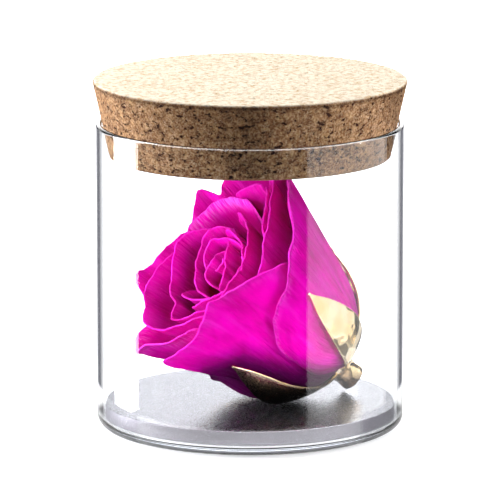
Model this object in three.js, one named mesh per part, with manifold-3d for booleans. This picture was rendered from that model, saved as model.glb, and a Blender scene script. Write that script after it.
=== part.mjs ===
// A preserved rose head with a gilded calyx, lying on a grey disc in a straight glass jar.
// A tapered cork lid closes the jar. Millimetres, +Z up. The origin is the middle of the jar's underside.
// The rose is seen from -Y.
import * as THREE from "three";
import { mergeVertices } from "three/addons/utils/BufferGeometryUtils.js";
import Module from "manifold-3d";

const wasm = await Module();
wasm.setup();

// Jar, disc and lid
const JAR_RADIUS = 50;
const JAR_HEIGHT = 100;
const WALL = 1.9;
const JAR_FLOOR = 2.7;
const FOOT_ROUNDING = 3.6;
const INNER_ROUNDING = 1.4;
const GAP = 0.3;
const DISC_RADIUS = 47.2;
const DISC_THICKNESS = 5;
const DISC_BEVEL = 0.5;
const LID_TOP_RADIUS = 51;
const LID_FOOT_RADIUS = 45.6;
const LID_FOOT = 89.1;
const LID_TOP = 114;
const LID_BEVEL = 0.6;
const ROUND_SEGMENTS = 56;
const DISC_TOP = JAR_FLOOR + GAP + DISC_THICKNESS;

// The rose head's place: the top of its receptacle, the way its axis leans, and its turn about that axis.
// In the rose's own frame +Z runs from the stalk to the open face, and a turn of 0 degrees faces the viewer.
const ROSE_BASE = new THREE.Vector3(26.7, 9.3, 19.1);
const ROSE_HEADING = 207;
const ROSE_LEAN = 49;
const ROSE_SPIN = 81;

// The cup that the petals fill. Layers run from 0 on the axis to 1 in the outermost petal.
const CUP_FOOT = 9;
const CUP_SWELL = 11.35;
const CUP_SWELL_HEIGHT = 6.8;
const CUP_FLARE = 0.27;
const CUP_HEIGHT = 60;
const FACE_CLOSING = 0.5;
const DOME = 6;
const SQUASH = 0.04;
const SQUASH_TURN = 80;
const DENT = 0.2;
const DENT_TURN = -14;
const DENT_WIDTH = 22;
const SAG = 3;
const SAG_TURN = -85;
const SAG_WIDTH = 45;
const SAG_HEIGHT = 17;
const SAG_REACH = 11;
const PETAL_THICKNESS = 0.5;
const OUTER_START = 0.5;
const INNER_START = 5;
const PETAL_WAIST = 0.7;
const LIP_DROP = 0.5;

// The gilded calyx: the receptacle inside the petals, the hip and cut stub below, and the sepals outside
const STUB_RADIUS = 4.6;
const STUB_LENGTH = 11;
const RECEPTACLE_RADIUS = 7.8;
const RECEPTACLE_HEIGHT = 4.3;
const SEPAL_THICKNESS = 1;
const SEPAL_CLEARANCE = PETAL_THICKNESS / 2 + 2 * GAP + SEPAL_THICKNESS / 2;
const SEPAL_START = -2.6;
const HIP_BLEND = -2.2;
const SEPAL_HALF_WIDTHS = [[3.5], [6.2], [7], [5.8], [3.4], [0.3]];

const radians = THREE.MathUtils.degToRad;
const smooth = (low, high, x) => THREE.MathUtils.smoothstep(x, low, high);

function material(color, roughness, metalness = 0) {
  return new THREE.MeshStandardMaterial({ color, roughness, metalness });
}

const glass = material(0xf4f8fa, 0.03);
const cork = material(0xc08a55, 0.85);
const board = material(0x8f8b98, 0.45);
const petalPink = material(0xe6009a, 0.6);
const gold = material(0xd9a845, 0.12, 1);

// A solid of revolution about +Z. Its profile of [radius, height] points runs anticlockwise from the axis.
function turned(profile, segments = ROUND_SEGMENTS) {
  const points = profile.map(([radius, height]) => new THREE.Vector2(radius, height));
  return new THREE.LatheGeometry(points, segments).rotateX(Math.PI / 2);
}

// Points on a quarter or half round of a profile, from one angle to another in degrees.
function arc(centreRadius, centreHeight, size, from, to, steps) {
  return Array.from({ length: steps + 1 }, (_, i) => {
    const angle = radians(from + ((to - from) * i) / steps);
    return [centreRadius + size * Math.cos(angle), centreHeight + size * Math.sin(angle)];
  });
}

function jar() {
  const rim = WALL / 2;
  return turned([
    [0, 0],
    ...arc(JAR_RADIUS - FOOT_ROUNDING, FOOT_ROUNDING, FOOT_ROUNDING, -90, 0, 4),
    ...arc(JAR_RADIUS - rim, JAR_HEIGHT - rim, rim, 0, 180, 4),
    ...arc(JAR_RADIUS - WALL - INNER_ROUNDING, JAR_FLOOR + INNER_ROUNDING, INNER_ROUNDING, 0, -90, 2),
    [0, JAR_FLOOR],
  ]);
}

function disc() {
  const foot = JAR_FLOOR + GAP;
  return turned([
    [0, foot],
    [DISC_RADIUS - DISC_BEVEL, foot],
    [DISC_RADIUS, foot + DISC_BEVEL],
    [DISC_RADIUS, DISC_TOP],
    [0, DISC_TOP],
  ]);
}

function lid() {
  return turned([
    [0, LID_FOOT],
    [LID_FOOT_RADIUS - LID_BEVEL, LID_FOOT],
    [LID_FOOT_RADIUS, LID_FOOT + LID_BEVEL],
    [LID_TOP_RADIUS, LID_TOP - LID_BEVEL],
    [LID_TOP_RADIUS - LID_BEVEL, LID_TOP],
    [0, LID_TOP],
  ]);
}

const sepalWidth = through(SEPAL_HALF_WIDTHS);

// How far a turn is from another, between -180 and 180 degrees.
const turnFrom = (turn, other) => THREE.MathUtils.euclideanModulo(turn - other + 180, 360) - 180;
const hump = (distance, width) => Math.exp(-((distance / width) ** 2));

// The cup's radius at a height above the receptacle's foot. Its mouth is slightly oval, with a dent at the
// front, and its lower side sags towards the disc. Below the petals it narrows to the hip.
function cupRadius(height, turn) {
  const above = Math.max(height, 0);
  const below = Math.min(height, 0);
  const swell = CUP_SWELL * (1 - Math.exp(-above / CUP_SWELL_HEIGHT));
  const squash = SQUASH * Math.cos(2 * radians(turn - SQUASH_TURN));
  const dent = DENT * hump(turnFrom(turn, DENT_TURN), DENT_WIDTH);
  const sag = SAG * hump(turnFrom(turn, SAG_TURN), SAG_WIDTH) * hump(height - SAG_HEIGHT, SAG_REACH);
  const round = CUP_FOOT + swell + CUP_FLARE * above + below;
  return round * (1 + (squash - dent) * smooth(15, 55, height)) + sag;
}

// A point in the rose's frame, from its layer, its turn in degrees and its height along the cup.
function inCup(layer, turn, height, outward, drop = 0) {
  const closing = 1 + (FACE_CLOSING * Math.max(height, 0)) / CUP_HEIGHT;
  const radius = cupRadius(height, turn) * layer ** closing + outward;
  const angle = radians(turn);
  const up = height + DOME * (1 - layer) * (1 - smooth(0, 40, height)) - drop;
  return new THREE.Vector3(radius * Math.cos(angle), radius * Math.sin(angle), up);
}

// A smooth curve through rows of numbers, read at a fraction of the way from the first row to the last.
function through(rows) {
  const row = (i) => rows[THREE.MathUtils.clamp(i, 0, rows.length - 1)];
  return (fraction) => {
    const place = fraction * (rows.length - 1);
    const i = THREE.MathUtils.clamp(Math.floor(place), 0, rows.length - 2);
    const t = place - i;
    return row(i).map((value, k) => {
      const [before, next, after] = [row(i - 1)[k], row(i + 1)[k], row(i + 2)[k]];
      const entry = (next - before) / 2;
      const exit = (after - value) / 2;
      return (
        value * (2 * t ** 3 - 3 * t ** 2 + 1) +
        entry * (t ** 3 - 2 * t ** 2 + t) +
        next * (3 * t ** 2 - 2 * t ** 3) +
        exit * (t ** 3 - t ** 2)
      );
    });
  };
}

// A thin closed plate about a surface(across, along), with both running from 0 to 1.
function plate(surface, columns, rows, thickness) {
  const step = 1e-3;
  const front = [];
  const back = [];
  for (let j = 0; j <= rows; j++) {
    for (let i = 0; i <= columns; i++) {
      const across = i / columns;
      const along = j / rows;
      const middle = surface(across, along);
      const sideways = surface(across + step, along).sub(surface(across - step, along));
      const upwards = surface(across, along + step).sub(surface(across, along - step));
      const normal = sideways.cross(upwards).normalize();
      front.push(middle.clone().addScaledVector(normal, thickness / 2));
      back.push(middle.clone().addScaledVector(normal, -thickness / 2));
    }
  }
  const positions = [...front, ...back].flatMap((p) => p.toArray());
  const at = (i, j, side) => side * front.length + j * (columns + 1) + i;
  const faces = [];
  const quad = (a, b, c, d) => faces.push(a, b, c, a, c, d);
  for (let j = 0; j < rows; j++) {
    for (let i = 0; i < columns; i++) {
      quad(at(i, j, 0), at(i + 1, j, 0), at(i + 1, j + 1, 0), at(i, j + 1, 0));
      quad(at(i, j, 1), at(i, j + 1, 1), at(i + 1, j + 1, 1), at(i + 1, j, 1));
    }
    quad(at(0, j, 1), at(0, j, 0), at(0, j + 1, 0), at(0, j + 1, 1));
    quad(at(columns, j, 0), at(columns, j, 1), at(columns, j + 1, 1), at(columns, j + 1, 0));
  }
  for (let i = 0; i < columns; i++) {
    quad(at(i, 0, 1), at(i + 1, 0, 1), at(i + 1, 0, 0), at(i, 0, 0));
    quad(at(i, rows, 0), at(i + 1, rows, 0), at(i + 1, rows, 1), at(i, rows, 1));
  }
  const geometry = new THREE.BufferGeometry();
  geometry.setAttribute("position", new THREE.Float32BufferAttribute(positions, 3));
  geometry.setIndex(faces);
  return geometry;
}

// A petal's middle surface from its rim's rows of [turn, height, layer, lean]. Lean moves the rim outwards.
function petalSurface(rim, start) {
  const rimAt = through(rim);
  const middleTurn = (rim[0][0] + rim[rim.length - 1][0]) / 2;
  return (across, along) => {
    const [rimTurn, rimHeight, layer, lean] = rimAt(across);
    const widening = PETAL_WAIST + (1 - PETAL_WAIST) * smooth(0, 0.5, along);
    const turn = middleTurn + (rimTurn - middleTurn) * widening;
    const height = start + (rimHeight - start) * along;
    const outward = lean * smooth(0.45, 1, along);
    return inCup(layer, turn, height, outward, LIP_DROP * Math.max(outward, 0));
  };
}

// A sepal's middle surface, from its turn at the foot and at the tip, its tip's height and how far it bulges.
// It starts inside the hip and comes out of it to pass clear of the petals.
function sepalSurface({ foot, tip, height, bulge }) {
  return (across, along) => {
    const up = SEPAL_START + (height - SEPAL_START) * along;
    const turn = foot + (tip - foot) * along;
    const clearance = SEPAL_CLEARANCE * smooth(HIP_BLEND, 0, up);
    const outward = clearance + bulge * Math.sin(Math.PI * THREE.MathUtils.clamp(along, 0, 1)) ** 2;
    const halfWidth = sepalWidth(along)[0] / (cupRadius(up, turn) + outward);
    return inCup(1, turn + (2 * across - 1) * THREE.MathUtils.radToDeg(halfWidth), up, outward);
  };
}

// The rims of the petals, each from one side to the other in rows of [turn, height, layer, lean].
const OUTER_PETALS = {
  front: [[-99, 24.5, 1, 0], [-88, 28.5, 1, 0], [-78, 33, 1, 0], [-69, 37.5, 1, 0], [-62, 42, 1, 0.2],
    [-58, 47.5, 0.995, 1], [-57.5, 54, 0.99, 4.2], [-56.5, 61.5, 0.99, 5.4], [-52.5, 60, 0.985, 3.8],
    [-46.5, 59, 0.98, 2.7], [-39, 59.5, 0.97, 2], [-31, 61, 0.965, 1.3],
    [-24, 62.5, 0.955, 0.7], [-19, 60.5, 0.95, 0], [-11, 59, 0.945, 0], [0, 58, 0.94, 0],
    [14, 55.5, 0.93, 0], [26, 52, 0.925, 0], [36, 44, 0.92, 0]],
  right: [[-19, 26, 1, 0], [-15, 35, 1, 0], [0, 43, 1, 0], [15, 48, 1, 0], [28, 53.5, 0.99, 0],
    [43, 57.5, 0.98, 0], [58, 62.5, 0.97, -1], [80, 63.5, 0.98, 0], [100, 60.5, 0.94, 0],
    [115, 50, 0.9, 0]],
  top: [[97, 48, 0.99, 0], [108, 60, 0.98, 0], [124, 64, 0.96, 0], [135, 61, 0.955, 0],
    [142, 59, 0.95, 0], [148, 57, 0.94, 0], [153, 60.5, 0.94, 1.5], [157, 63, 0.93, 2.5],
    [165, 59, 0.93, 1], [175, 55, 0.92, 0], [187, 46, 0.9, 0]],
  behind: [[-205, 44, 0.99, 0], [-183, 54, 0.97, 0], [-166, 57, 0.96, 0], [-152, 58.5, 0.96, 1],
    [-146, 61, 0.96, 2], [-135, 58, 0.93, 0], [-118, 48, 0.9, 0]],
  left: [[-137, 42, 0.99, 0], [-118, 52, 0.98, 1], [-100, 58, 0.94, 4], [-88, 60, 0.92, 5],
    [-77, 61, 0.9, 3], [-60, 59, 0.88, 2], [-46, 58, 0.87, 1], [-38, 50, 0.86, 0]],
};
const INNER_PETALS = {
  right_inner: [[2, 50, 0.84, 0], [8, 53.7, 0.845, 0], [18, 56, 0.835, 0], [30, 59, 0.81, 0],
    [44, 60, 0.8, 0], [69, 60, 0.79, 0], [93, 61, 0.8, 4.5], [104, 57, 0.8, 3.5]],
  right_core: [[30, 52, 0.75, 0], [47, 59, 0.735, 0], [66, 60, 0.725, 0.5], [84, 61, 0.735, 3],
    [98, 60, 0.745, 4.5]],
  front_inner: [[-60, 46, 0.82, 0], [-40, 53, 0.81, 0], [-16, 54, 0.79, 0], [0, 53, 0.78, 0],
    [15, 46, 0.77, 0]],
  top_inner: [[101, 60.5, 0.75, 4], [109, 60, 0.775, 2.5], [125, 59, 0.785, 1], [131, 57.5, 0.775, 2],
    [145, 54, 0.84, 3.5]],
  top_core: [[95, 53, 0.645, 0], [108, 58, 0.67, 1.5], [123, 59, 0.7, 2], [145, 59, 0.78, 3],
    [160, 59, 0.8, 3], [178, 58, 0.8, 2], [186, 52, 0.79, 0]],
  left_inner: [[-172, 52, 0.8, 0], [-165, 57, 0.8, 1.5], [-145, 60, 0.79, 2], [-129, 60.5, 0.79, 2],
    [-115, 60, 0.79, 2.5], [-102, 60, 0.79, 3.5], [-90, 57.5, 0.775, 3], [-73, 56, 0.72, 2],
    [-53, 56, 0.74, 0], [-42, 52, 0.735, 0]],
  left_core: [[-206, 52, 0.71, 0], [-192, 57, 0.725, 0], [-176, 60, 0.735, 0], [-163, 59.5, 0.705, 0],
    [-138, 57, 0.67, 0], [-117, 56, 0.655, 0], [-104, 55, 0.65, 0], [-91, 56, 0.66, 3],
    [-80, 54.5, 0.65, 1.5], [-65, 54, 0.63, 0.5], [-48, 53, 0.61, 0]],
  right_heart: [[-36, 50, 0.74, 0], [-26, 55, 0.72, 0], [3, 55, 0.605, 0], [22, 56, 0.56, 0],
    [51, 57, 0.525, 0], [85, 57, 0.54, 0], [109, 58, 0.6, 0], [120, 55, 0.6, 0]],
  left_heart: [[-224, 52, 0.6, 0], [-209, 56, 0.63, 0], [-192, 56, 0.655, 0], [-178, 55, 0.59, 0],
    [-156, 54, 0.525, 0], [-140, 53, 0.495, 0], [-114, 52, 0.46, 0], [-92, 52, 0.425, 0],
    [-75, 48, 0.42, 0]],
  front_heart: [[-90, 50, 0.57, 0], [-82, 53, 0.56, 0], [-53, 53, 0.495, 0], [-19, 53, 0.54, 0],
    [14, 53, 0.445, 0], [41, 54, 0.41, 0], [63, 54, 0.385, 0], [105, 55, 0.42, 0], [133, 56, 0.52, 0],
    [145, 52, 0.52, 0]],
  low_heart: [[-45, 50, 0.4, 0], [-87, 53, 0.5, 0], [-112, 54, 0.58, 0], [-125, 52, 0.585, 0],
    [-140, 47, 0.59, 0]],
  back_heart: [[100, 48, 0.36, 0], [127, 53, 0.44, 0], [151, 54, 0.52, 0], [167, 55, 0.56, 0],
    [195, 53, 0.47, 0], [212, 48, 0.43, 0]],
  bud_right: [[-70, 50, 0.3, 0], [-28, 53, 0.27, 0], [4, 54, 0.22, 0], [40, 56, 0.2, 0],
    [76, 57.5, 0.3, 0], [105, 56, 0.32, 0]],
  bud_left: [[-240, 53, 0.3, 0], [-200, 55, 0.26, 0], [-170, 55, 0.24, 0], [-113, 54, 0.3, 0],
    [-80, 51, 0.3, 0]],
  bud_centre: [[-180, 52, 0.13, 0], [-90, 54, 0.13, 0], [0, 55, 0.13, 0], [90, 55, 0.12, 0],
    [150, 53, 0.11, 0]],
};

const SEPALS = [
  { foot: -46, tip: -45, height: 38.5, bulge: 1 },
  { foot: 25, tip: 21, height: 38.5, bulge: 1.2 },
  { foot: 97, tip: 106, height: 28, bulge: 0.3 },
  { foot: 167, tip: 165, height: 33, bulge: 1.5 },
  { foot: 238, tip: 236, height: 34, bulge: 1 },
];

// The receptacle inside the petals, the hip under them and the cut stub, about the rose's axis.
function hip() {
  return turned([
    [0, -STUB_LENGTH],
    [STUB_RADIUS - 0.5, -STUB_LENGTH],
    [STUB_RADIUS, -STUB_LENGTH + 0.5],
    [STUB_RADIUS - 0.2, -7.5],
    [STUB_RADIUS + 0.4, -5],
    [STUB_RADIUS + 1.4, -3.4],
    [RECEPTACLE_RADIUS - 0.5, -1.4],
    [RECEPTACLE_RADIUS, 0],
    [RECEPTACLE_RADIUS - 0.8, RECEPTACLE_HEIGHT - 0.4],
    [0, RECEPTACLE_HEIGHT],
  ], 24);
}

// A closed geometry as a manifold solid, and back.
function solid(geometry) {
  const bare = new THREE.BufferGeometry().setAttribute("position", geometry.getAttribute("position"));
  const merged = mergeVertices(bare.setIndex(geometry.getIndex()), 1e-4);
  const vertProperties = merged.getAttribute("position").array;
  const triVerts = Uint32Array.from(merged.index.array);
  return new wasm.Manifold(new wasm.Mesh({ numProp: 3, vertProperties, triVerts }));
}

function geometryOf(manifold) {
  const mesh = manifold.getMesh();
  const geometry = new THREE.BufferGeometry();
  geometry.setAttribute("position", new THREE.BufferAttribute(mesh.vertProperties, 3));
  return geometry.setIndex(new THREE.BufferAttribute(mesh.triVerts, 1));
}

function calyx() {
  const sepals = SEPALS.map((sepal) => solid(plate(sepalSurface(sepal), 4, 9, SEPAL_THICKNESS)));
  return geometryOf(sepals.reduce((whole, sepal) => whole.add(sepal), solid(hip())));
}

const group = new THREE.Group();
function add(parent, name, geometry, finish) {
  const mesh = new THREE.Mesh(geometry, finish);
  mesh.name = name;
  parent.add(mesh);
}

add(group, "glass_jar", jar(), glass);
add(group, "base_disc", disc(), board);
add(group, "cork_lid", lid(), cork);

const rose = new THREE.Group();
rose.position.copy(ROSE_BASE);
rose.rotation.set(0, radians(ROSE_LEAN), radians(ROSE_HEADING), "ZYX");
const turnedRose = new THREE.Group();
turnedRose.rotation.z = radians(ROSE_SPIN);
rose.add(turnedRose);
group.add(rose);

function addPetal(name, surface, columns, rows) {
  add(turnedRose, `petal_${name}`, plate(surface, columns, rows, PETAL_THICKNESS), petalPink);
}

for (const [name, rim] of Object.entries(OUTER_PETALS)) {
  addPetal(name, petalSurface(rim, OUTER_START), 14, 6);
}
for (const [name, rim] of Object.entries(INNER_PETALS)) {
  addPetal(name, petalSurface(rim, INNER_START), name.startsWith("bud") ? 8 : 10, 5);
}
add(turnedRose, "gilded_calyx", calyx(), gold);

export default group;
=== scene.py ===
"""Looks for the preserved rose in its glass jar: fine meshes, procedural materials, light and camera.

Shapes are worked out in millimetres in the part's own frame and turned into metres when a mesh is made.
"""

import math

import bpy
import numpy as np
from mathutils import Matrix, Vector


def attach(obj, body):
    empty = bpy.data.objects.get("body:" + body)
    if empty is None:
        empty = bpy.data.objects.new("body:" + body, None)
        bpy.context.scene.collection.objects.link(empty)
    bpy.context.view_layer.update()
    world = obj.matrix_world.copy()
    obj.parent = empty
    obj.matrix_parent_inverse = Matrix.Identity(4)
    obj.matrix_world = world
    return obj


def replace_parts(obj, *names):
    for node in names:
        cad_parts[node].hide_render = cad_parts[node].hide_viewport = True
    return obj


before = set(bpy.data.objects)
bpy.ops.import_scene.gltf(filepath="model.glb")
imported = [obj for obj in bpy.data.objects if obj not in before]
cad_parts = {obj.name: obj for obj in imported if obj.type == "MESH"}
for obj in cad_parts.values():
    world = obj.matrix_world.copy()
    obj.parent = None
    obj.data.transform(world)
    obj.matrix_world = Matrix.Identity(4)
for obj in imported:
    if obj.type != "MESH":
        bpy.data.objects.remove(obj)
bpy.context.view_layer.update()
MM = 0.001

# Jar, disc and lid, as in the part's source
JAR_RADIUS = 50.0
JAR_HEIGHT = 100.0
WALL = 1.9
JAR_FLOOR = 2.7
FOOT_ROUNDING = 3.6
INNER_ROUNDING = 1.4
GAP = 0.3
DISC_RADIUS = 47.2
DISC_THICKNESS = 5.0
DISC_BEVEL = 0.5
LID_TOP_RADIUS = 51.0
LID_FOOT_RADIUS = 45.6
LID_FOOT = 89.1
LID_TOP = 114.0
LID_BEVEL = 0.6
DISC_FOOT = JAR_FLOOR + GAP
DISC_TOP = DISC_FOOT + DISC_THICKNESS

# The rose head's place and the cup that its petals fill, as in the part's source
ROSE_BASE = (26.7, 9.3, 19.1)
ROSE_HEADING = 207
ROSE_LEAN = 49
ROSE_SPIN = 81
CUP_FOOT = 9.0
CUP_SWELL = 11.35
CUP_SWELL_HEIGHT = 6.8
CUP_FLARE = 0.27
CUP_HEIGHT = 60.0
FACE_CLOSING = 0.5
DOME = 6.0
DOME_HEIGHT = 40.0
SQUASH = 0.04
SQUASH_TURN = 80
DENT = 0.2
DENT_TURN = -14
DENT_WIDTH = 22
SAG = 3.0
SAG_TURN = -85
SAG_WIDTH = 45
SAG_HEIGHT = 17
SAG_REACH = 11
UNEVEN_HEIGHTS = (15, 55)
PETAL_THICKNESS = 0.5
OUTER_START = 0.5
INNER_START = 5.0
PETAL_WAIST = 0.7
LIP_DROP = 0.5
STUB_RADIUS = 4.6
STUB_LENGTH = 11.0
RECEPTACLE_RADIUS = 7.8
RECEPTACLE_HEIGHT = 4.3
SEPAL_THICKNESS = 1.0
SEPAL_CLEARANCE = PETAL_THICKNESS / 2 + 2 * GAP + SEPAL_THICKNESS / 2
SEPAL_START = -2.6
HIP_BLEND = -2.2
SEPAL_HALF_WIDTHS = [[3.5], [6.2], [7], [5.8], [3.4], [0.3]]

# Detail that the solids leave out
LIP_ROLL = 0.45
LIP_ROLLS = {"right": 1.3, "front": 0.7, "top_core": 0.8, "left": 0.7}
LIP_WIDTH = 3.0
RIM_BEAD = 0.35
BEAD_WIDTH = 0.9
RUFFLE = 0.3
WRINKLE = 0.14
CHIPS = {"side": 420, "top": 160, "edge": 150}
CHIP_SIZES = (0.35, 0.9)
CHIP_DEPTH = 0.5
SKIN_WAVE = 0.06

# How velvety the petals are, which sets their ridges and painted sheen, and where painted shade darkens
# them
VELVET = {"top_core": 1.0, "left": 0.7, "right": 0.5, "front_inner": 0.4}
PLAIN_VELVET = 0.12
INNER_COVER = 0.75
SHADE_REACH = 11.0
SHADE_OF_LAYER = ([0.1, 0.45, 0.65, 0.9], [1.2, 1.12, 0.68, 0.38])
FOOT_SHADE = (7.0, 25.0)

# Steps of the meshes, and the sizes that set the number of a sheet's steps
PETAL_STEP = 0.85
PETAL_ROUNDING = 0.4
FACE_RADIUS = 33
PETAL_CURVE = 12
SEPAL_STEP = 0.7
SEPAL_ROUNDING = 0.55
SEPAL_WIDTH = 15
SEPAL_CURVE = 1.25
LID_STEP = 0.55
ROUND_SEGMENTS = 256
LID_SEGMENTS = 520
CALYX_SEGMENTS = 72
CALYX_ROWS = 55


# Shape helpers

def smooth(low, high, x):
    t = np.clip((x - low) / (high - low), 0, 1)
    return t * t * (3 - 2 * t)


def hump(distance, width):
    return np.exp(-((distance / width) ** 2))


def turn_from(turn, other):
    return (turn - other + 180) % 360 - 180


def through(rows):
    """A smooth curve through rows of numbers, read at shares of the way from the first row to the last."""
    table = np.array(rows, float)
    last = len(table) - 1

    def read(fraction):
        place = np.asarray(fraction, float) * last
        i = np.clip(np.floor(place), 0, last - 1).astype(int)
        t = (place - i)[..., None]
        before, value, following, after = (table[np.clip(i + k, 0, last)] for k in (-1, 0, 1, 2))
        entry = (following - before) / 2
        leaving = (after - value) / 2
        return (
            value * (2 * t**3 - 3 * t**2 + 1)
            + entry * (t**3 - 2 * t**2 + t)
            + following * (3 * t**2 - 2 * t**3)
            + leaving * (t**3 - t**2)
        )

    return read


def cup_radius(height, turn):
    above = np.maximum(height, 0)
    below = np.minimum(height, 0)
    swell = CUP_SWELL * (1 - np.exp(-above / CUP_SWELL_HEIGHT))
    squash = SQUASH * np.cos(2 * np.radians(turn - SQUASH_TURN))
    dent = DENT * hump(turn_from(turn, DENT_TURN), DENT_WIDTH)
    sag = SAG * hump(turn_from(turn, SAG_TURN), SAG_WIDTH) * hump(height - SAG_HEIGHT, SAG_REACH)
    bare = CUP_FOOT + swell + CUP_FLARE * above + below
    return bare * (1 + (squash - dent) * smooth(*UNEVEN_HEIGHTS, height)) + sag


def in_cup(layer, turn, height, outward, drop=0.0):
    """Points in the rose's frame, from their layer, turn in degrees and height along the cup."""
    closing = 1 + FACE_CLOSING * np.maximum(height, 0) / CUP_HEIGHT
    radius = cup_radius(height, turn) * layer**closing + outward
    angle = np.radians(turn)
    up = height + DOME * (1 - layer) * (1 - smooth(0, DOME_HEIGHT, height)) - drop
    return np.stack([radius * np.cos(angle), radius * np.sin(angle), up], axis=-1)


def rose_to_part():
    turning = (
        Matrix.Rotation(math.radians(ROSE_HEADING), 4, "Z")
        @ Matrix.Rotation(math.radians(ROSE_LEAN), 4, "Y")
        @ Matrix.Rotation(math.radians(ROSE_SPIN), 4, "Z")
    )
    return np.array(Matrix.Translation(ROSE_BASE) @ turning)


ROSE = rose_to_part()


def in_part(points):
    return points @ ROSE[:3, :3].T + ROSE[:3, 3]


# Mesh helpers

def mesh_object(name, points, faces, material, uv=None, marks=None):
    """A smooth-shaded piece from points in millimetres. It rides on the root body."""
    mesh = bpy.data.meshes.new(name)
    mesh.from_pydata((np.asarray(points) * MM).tolist(), [], [list(f) for f in faces])
    mesh.polygons.foreach_set("use_smooth", [True] * len(mesh.polygons))
    if uv is not None:
        corners = np.zeros(len(mesh.loops), int)
        mesh.loops.foreach_get("vertex_index", corners)
        layer = mesh.uv_layers.new(name="along")
        layer.data.foreach_set("uv", np.asarray(uv)[corners].astype(np.float32).ravel())
    for key, values in (marks or {}).items():
        mesh.attributes.new(key, "FLOAT", "POINT").data.foreach_set("value", values.astype(np.float32))
    mesh.materials.append(material)
    mesh.update()
    piece = bpy.data.objects.new(name, mesh)
    bpy.context.scene.collection.objects.link(piece)
    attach(piece, "root")
    return piece


def arc(centre_radius, centre_height, size, start, end, steps):
    angles = np.radians(np.linspace(start, end, steps + 1))
    return [(centre_radius + size * math.cos(a), centre_height + size * math.sin(a)) for a in angles]


def lathe(profile, segments):
    """Points and faces of a solid of revolution whose profile starts and ends on the axis."""
    middle = profile[1:-1]
    angles = np.arange(segments) * 2 * np.pi / segments
    points = [(0, 0, profile[0][1])]
    for radius, height in middle:
        points += [(radius * math.cos(a), radius * math.sin(a), height) for a in angles]
    points.append((0, 0, profile[-1][1]))
    top = 1 + (len(middle) - 1) * segments
    faces = []
    for k in range(segments):
        after = (k + 1) % segments
        faces.append((0, 1 + after, 1 + k))
        faces.append((len(points) - 1, top + k, top + after))
        for ring in range(len(middle) - 1):
            low = 1 + ring * segments
            high = low + segments
            faces.append((low + k, low + after, high + after, high + k))
    return np.array(points), faces


def spaced(length, step, rounding):
    """Fractions along a length: even steps with closer ones at the end that is rounded off."""
    close = rounding * np.array([0, 0.08, 0.3, 0.65])
    even = np.linspace(rounding, length, max(3, int((length - rounding) / step) + 1))
    return np.concatenate([close, even]) / length


def spaced_both(length, step, rounding):
    half = spaced(length / 2, step, rounding) / 2
    return np.concatenate([half, 1 - half[-2::-1]])


def with_normals(surface, across, along):
    """The surface's points, and its normals there."""
    small = 1e-3
    sideways = surface(across + small, along) - surface(across - small, along)
    upwards = surface(across, along + small) - surface(across, along - small)
    normal = np.cross(sideways, upwards)
    normal /= np.maximum(np.linalg.norm(normal, axis=-1, keepdims=True), 1e-12)
    return surface(across, along), normal


def sheet_faces(shape, inner):
    """Faces of a plate's front, of its back, which shares the points of the rim, and of its foot."""
    count = shape[0] * shape[1]
    front = np.arange(count).reshape(shape)
    back = np.arange(count)
    back[inner] = count + np.arange(inner.sum())
    back = back.reshape(shape)

    def quads(grid):
        corners = [grid[:-1, :-1], grid[:-1, 1:], grid[1:, 1:], grid[1:, :-1]]
        return np.stack(corners, axis=-1).reshape(-1, 4)

    foot = np.stack([back[0, :-1], back[0, 1:], front[0, 1:], front[0, :-1]], axis=-1)
    faces = np.concatenate([quads(front), quads(back)[:, ::-1], foot])
    trimmed = [tuple(dict.fromkeys(f)) for f in faces.tolist()]
    return [f for f in trimmed if len(f) > 2]


def sheet(surface, width, length, thickness, step, rounding, bead=0.0):
    """A thin closed plate about surface(across, along). Its sides and far end are rounded, with a bead.

    It gives the points, the faces, each point's place on the sheet and its distance to the rim, both in
    millimetres, and which face it is on: 0 in front and 1 behind.
    """
    across = spaced_both(width, step, rounding)
    along = (1 - spaced(length, step, rounding))[::-1]
    a, b = np.meshgrid(across, along)
    middle, normal = with_normals(surface, a, b)
    rim = np.minimum(np.minimum(a, 1 - a) * width, (1 - b) * length)
    share = np.clip(rim / rounding, 0, 1)
    half = thickness / 2 * np.sqrt(1 - (1 - share) ** 2) * (1 + bead * hump(rim, BEAD_WIDTH))
    front = (middle + normal * half[..., None]).reshape(-1, 3)
    back = (middle - normal * half[..., None]).reshape(-1, 3)
    inner = (rim > 1e-9).ravel()
    points = np.concatenate([front, back[inner]])
    place = np.stack([(a - 0.5) * width, b * length], axis=-1).reshape(-1, 2)
    place = np.concatenate([place, place[inner]])
    distance = np.concatenate([rim.ravel(), rim.ravel()[inner]])
    side = np.concatenate([np.where(inner, 0.0, 0.5), np.ones(inner.sum())])
    return points, sheet_faces(a.shape, inner), place, distance, side


# Material helpers

def feed(tree, socket, value):
    """Gives a socket its own value, or links another node's output to it."""
    if isinstance(value, bpy.types.NodeSocket):
        tree.links.new(value, socket)
    else:
        socket.default_value = value


def node(tree, kind, inputs=None, **settings):
    """A shader node. Each input is a value or another node's output."""
    made = tree.nodes.new("ShaderNode" + kind)
    for key, value in settings.items():
        setattr(made, key, value)
    for key, value in (inputs or {}).items():
        feed(tree, made.inputs[key], value)
    return made


def new_material(name):
    material = bpy.data.materials.new(name)
    material.use_nodes = True
    tree = material.node_tree
    return material, tree, tree.nodes["Principled BSDF"]


def finish_with(tree, shader, **inputs):
    for key, value in inputs.items():
        feed(tree, shader.inputs[key.replace("_", " ")], value)


def attribute(tree, name):
    return node(tree, "Attribute", attribute_name=name).outputs["Fac"]


def object_place(tree):
    return node(tree, "TexCoord").outputs["Object"]


def axes(tree, vector):
    return node(tree, "SeparateXYZ", {0: vector}).outputs


def math_node(tree, operation, *values):
    made = node(tree, "Math", operation=operation)
    for socket, value in zip(made.inputs, values):
        feed(tree, socket, value)
    return made.outputs[0]


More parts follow.
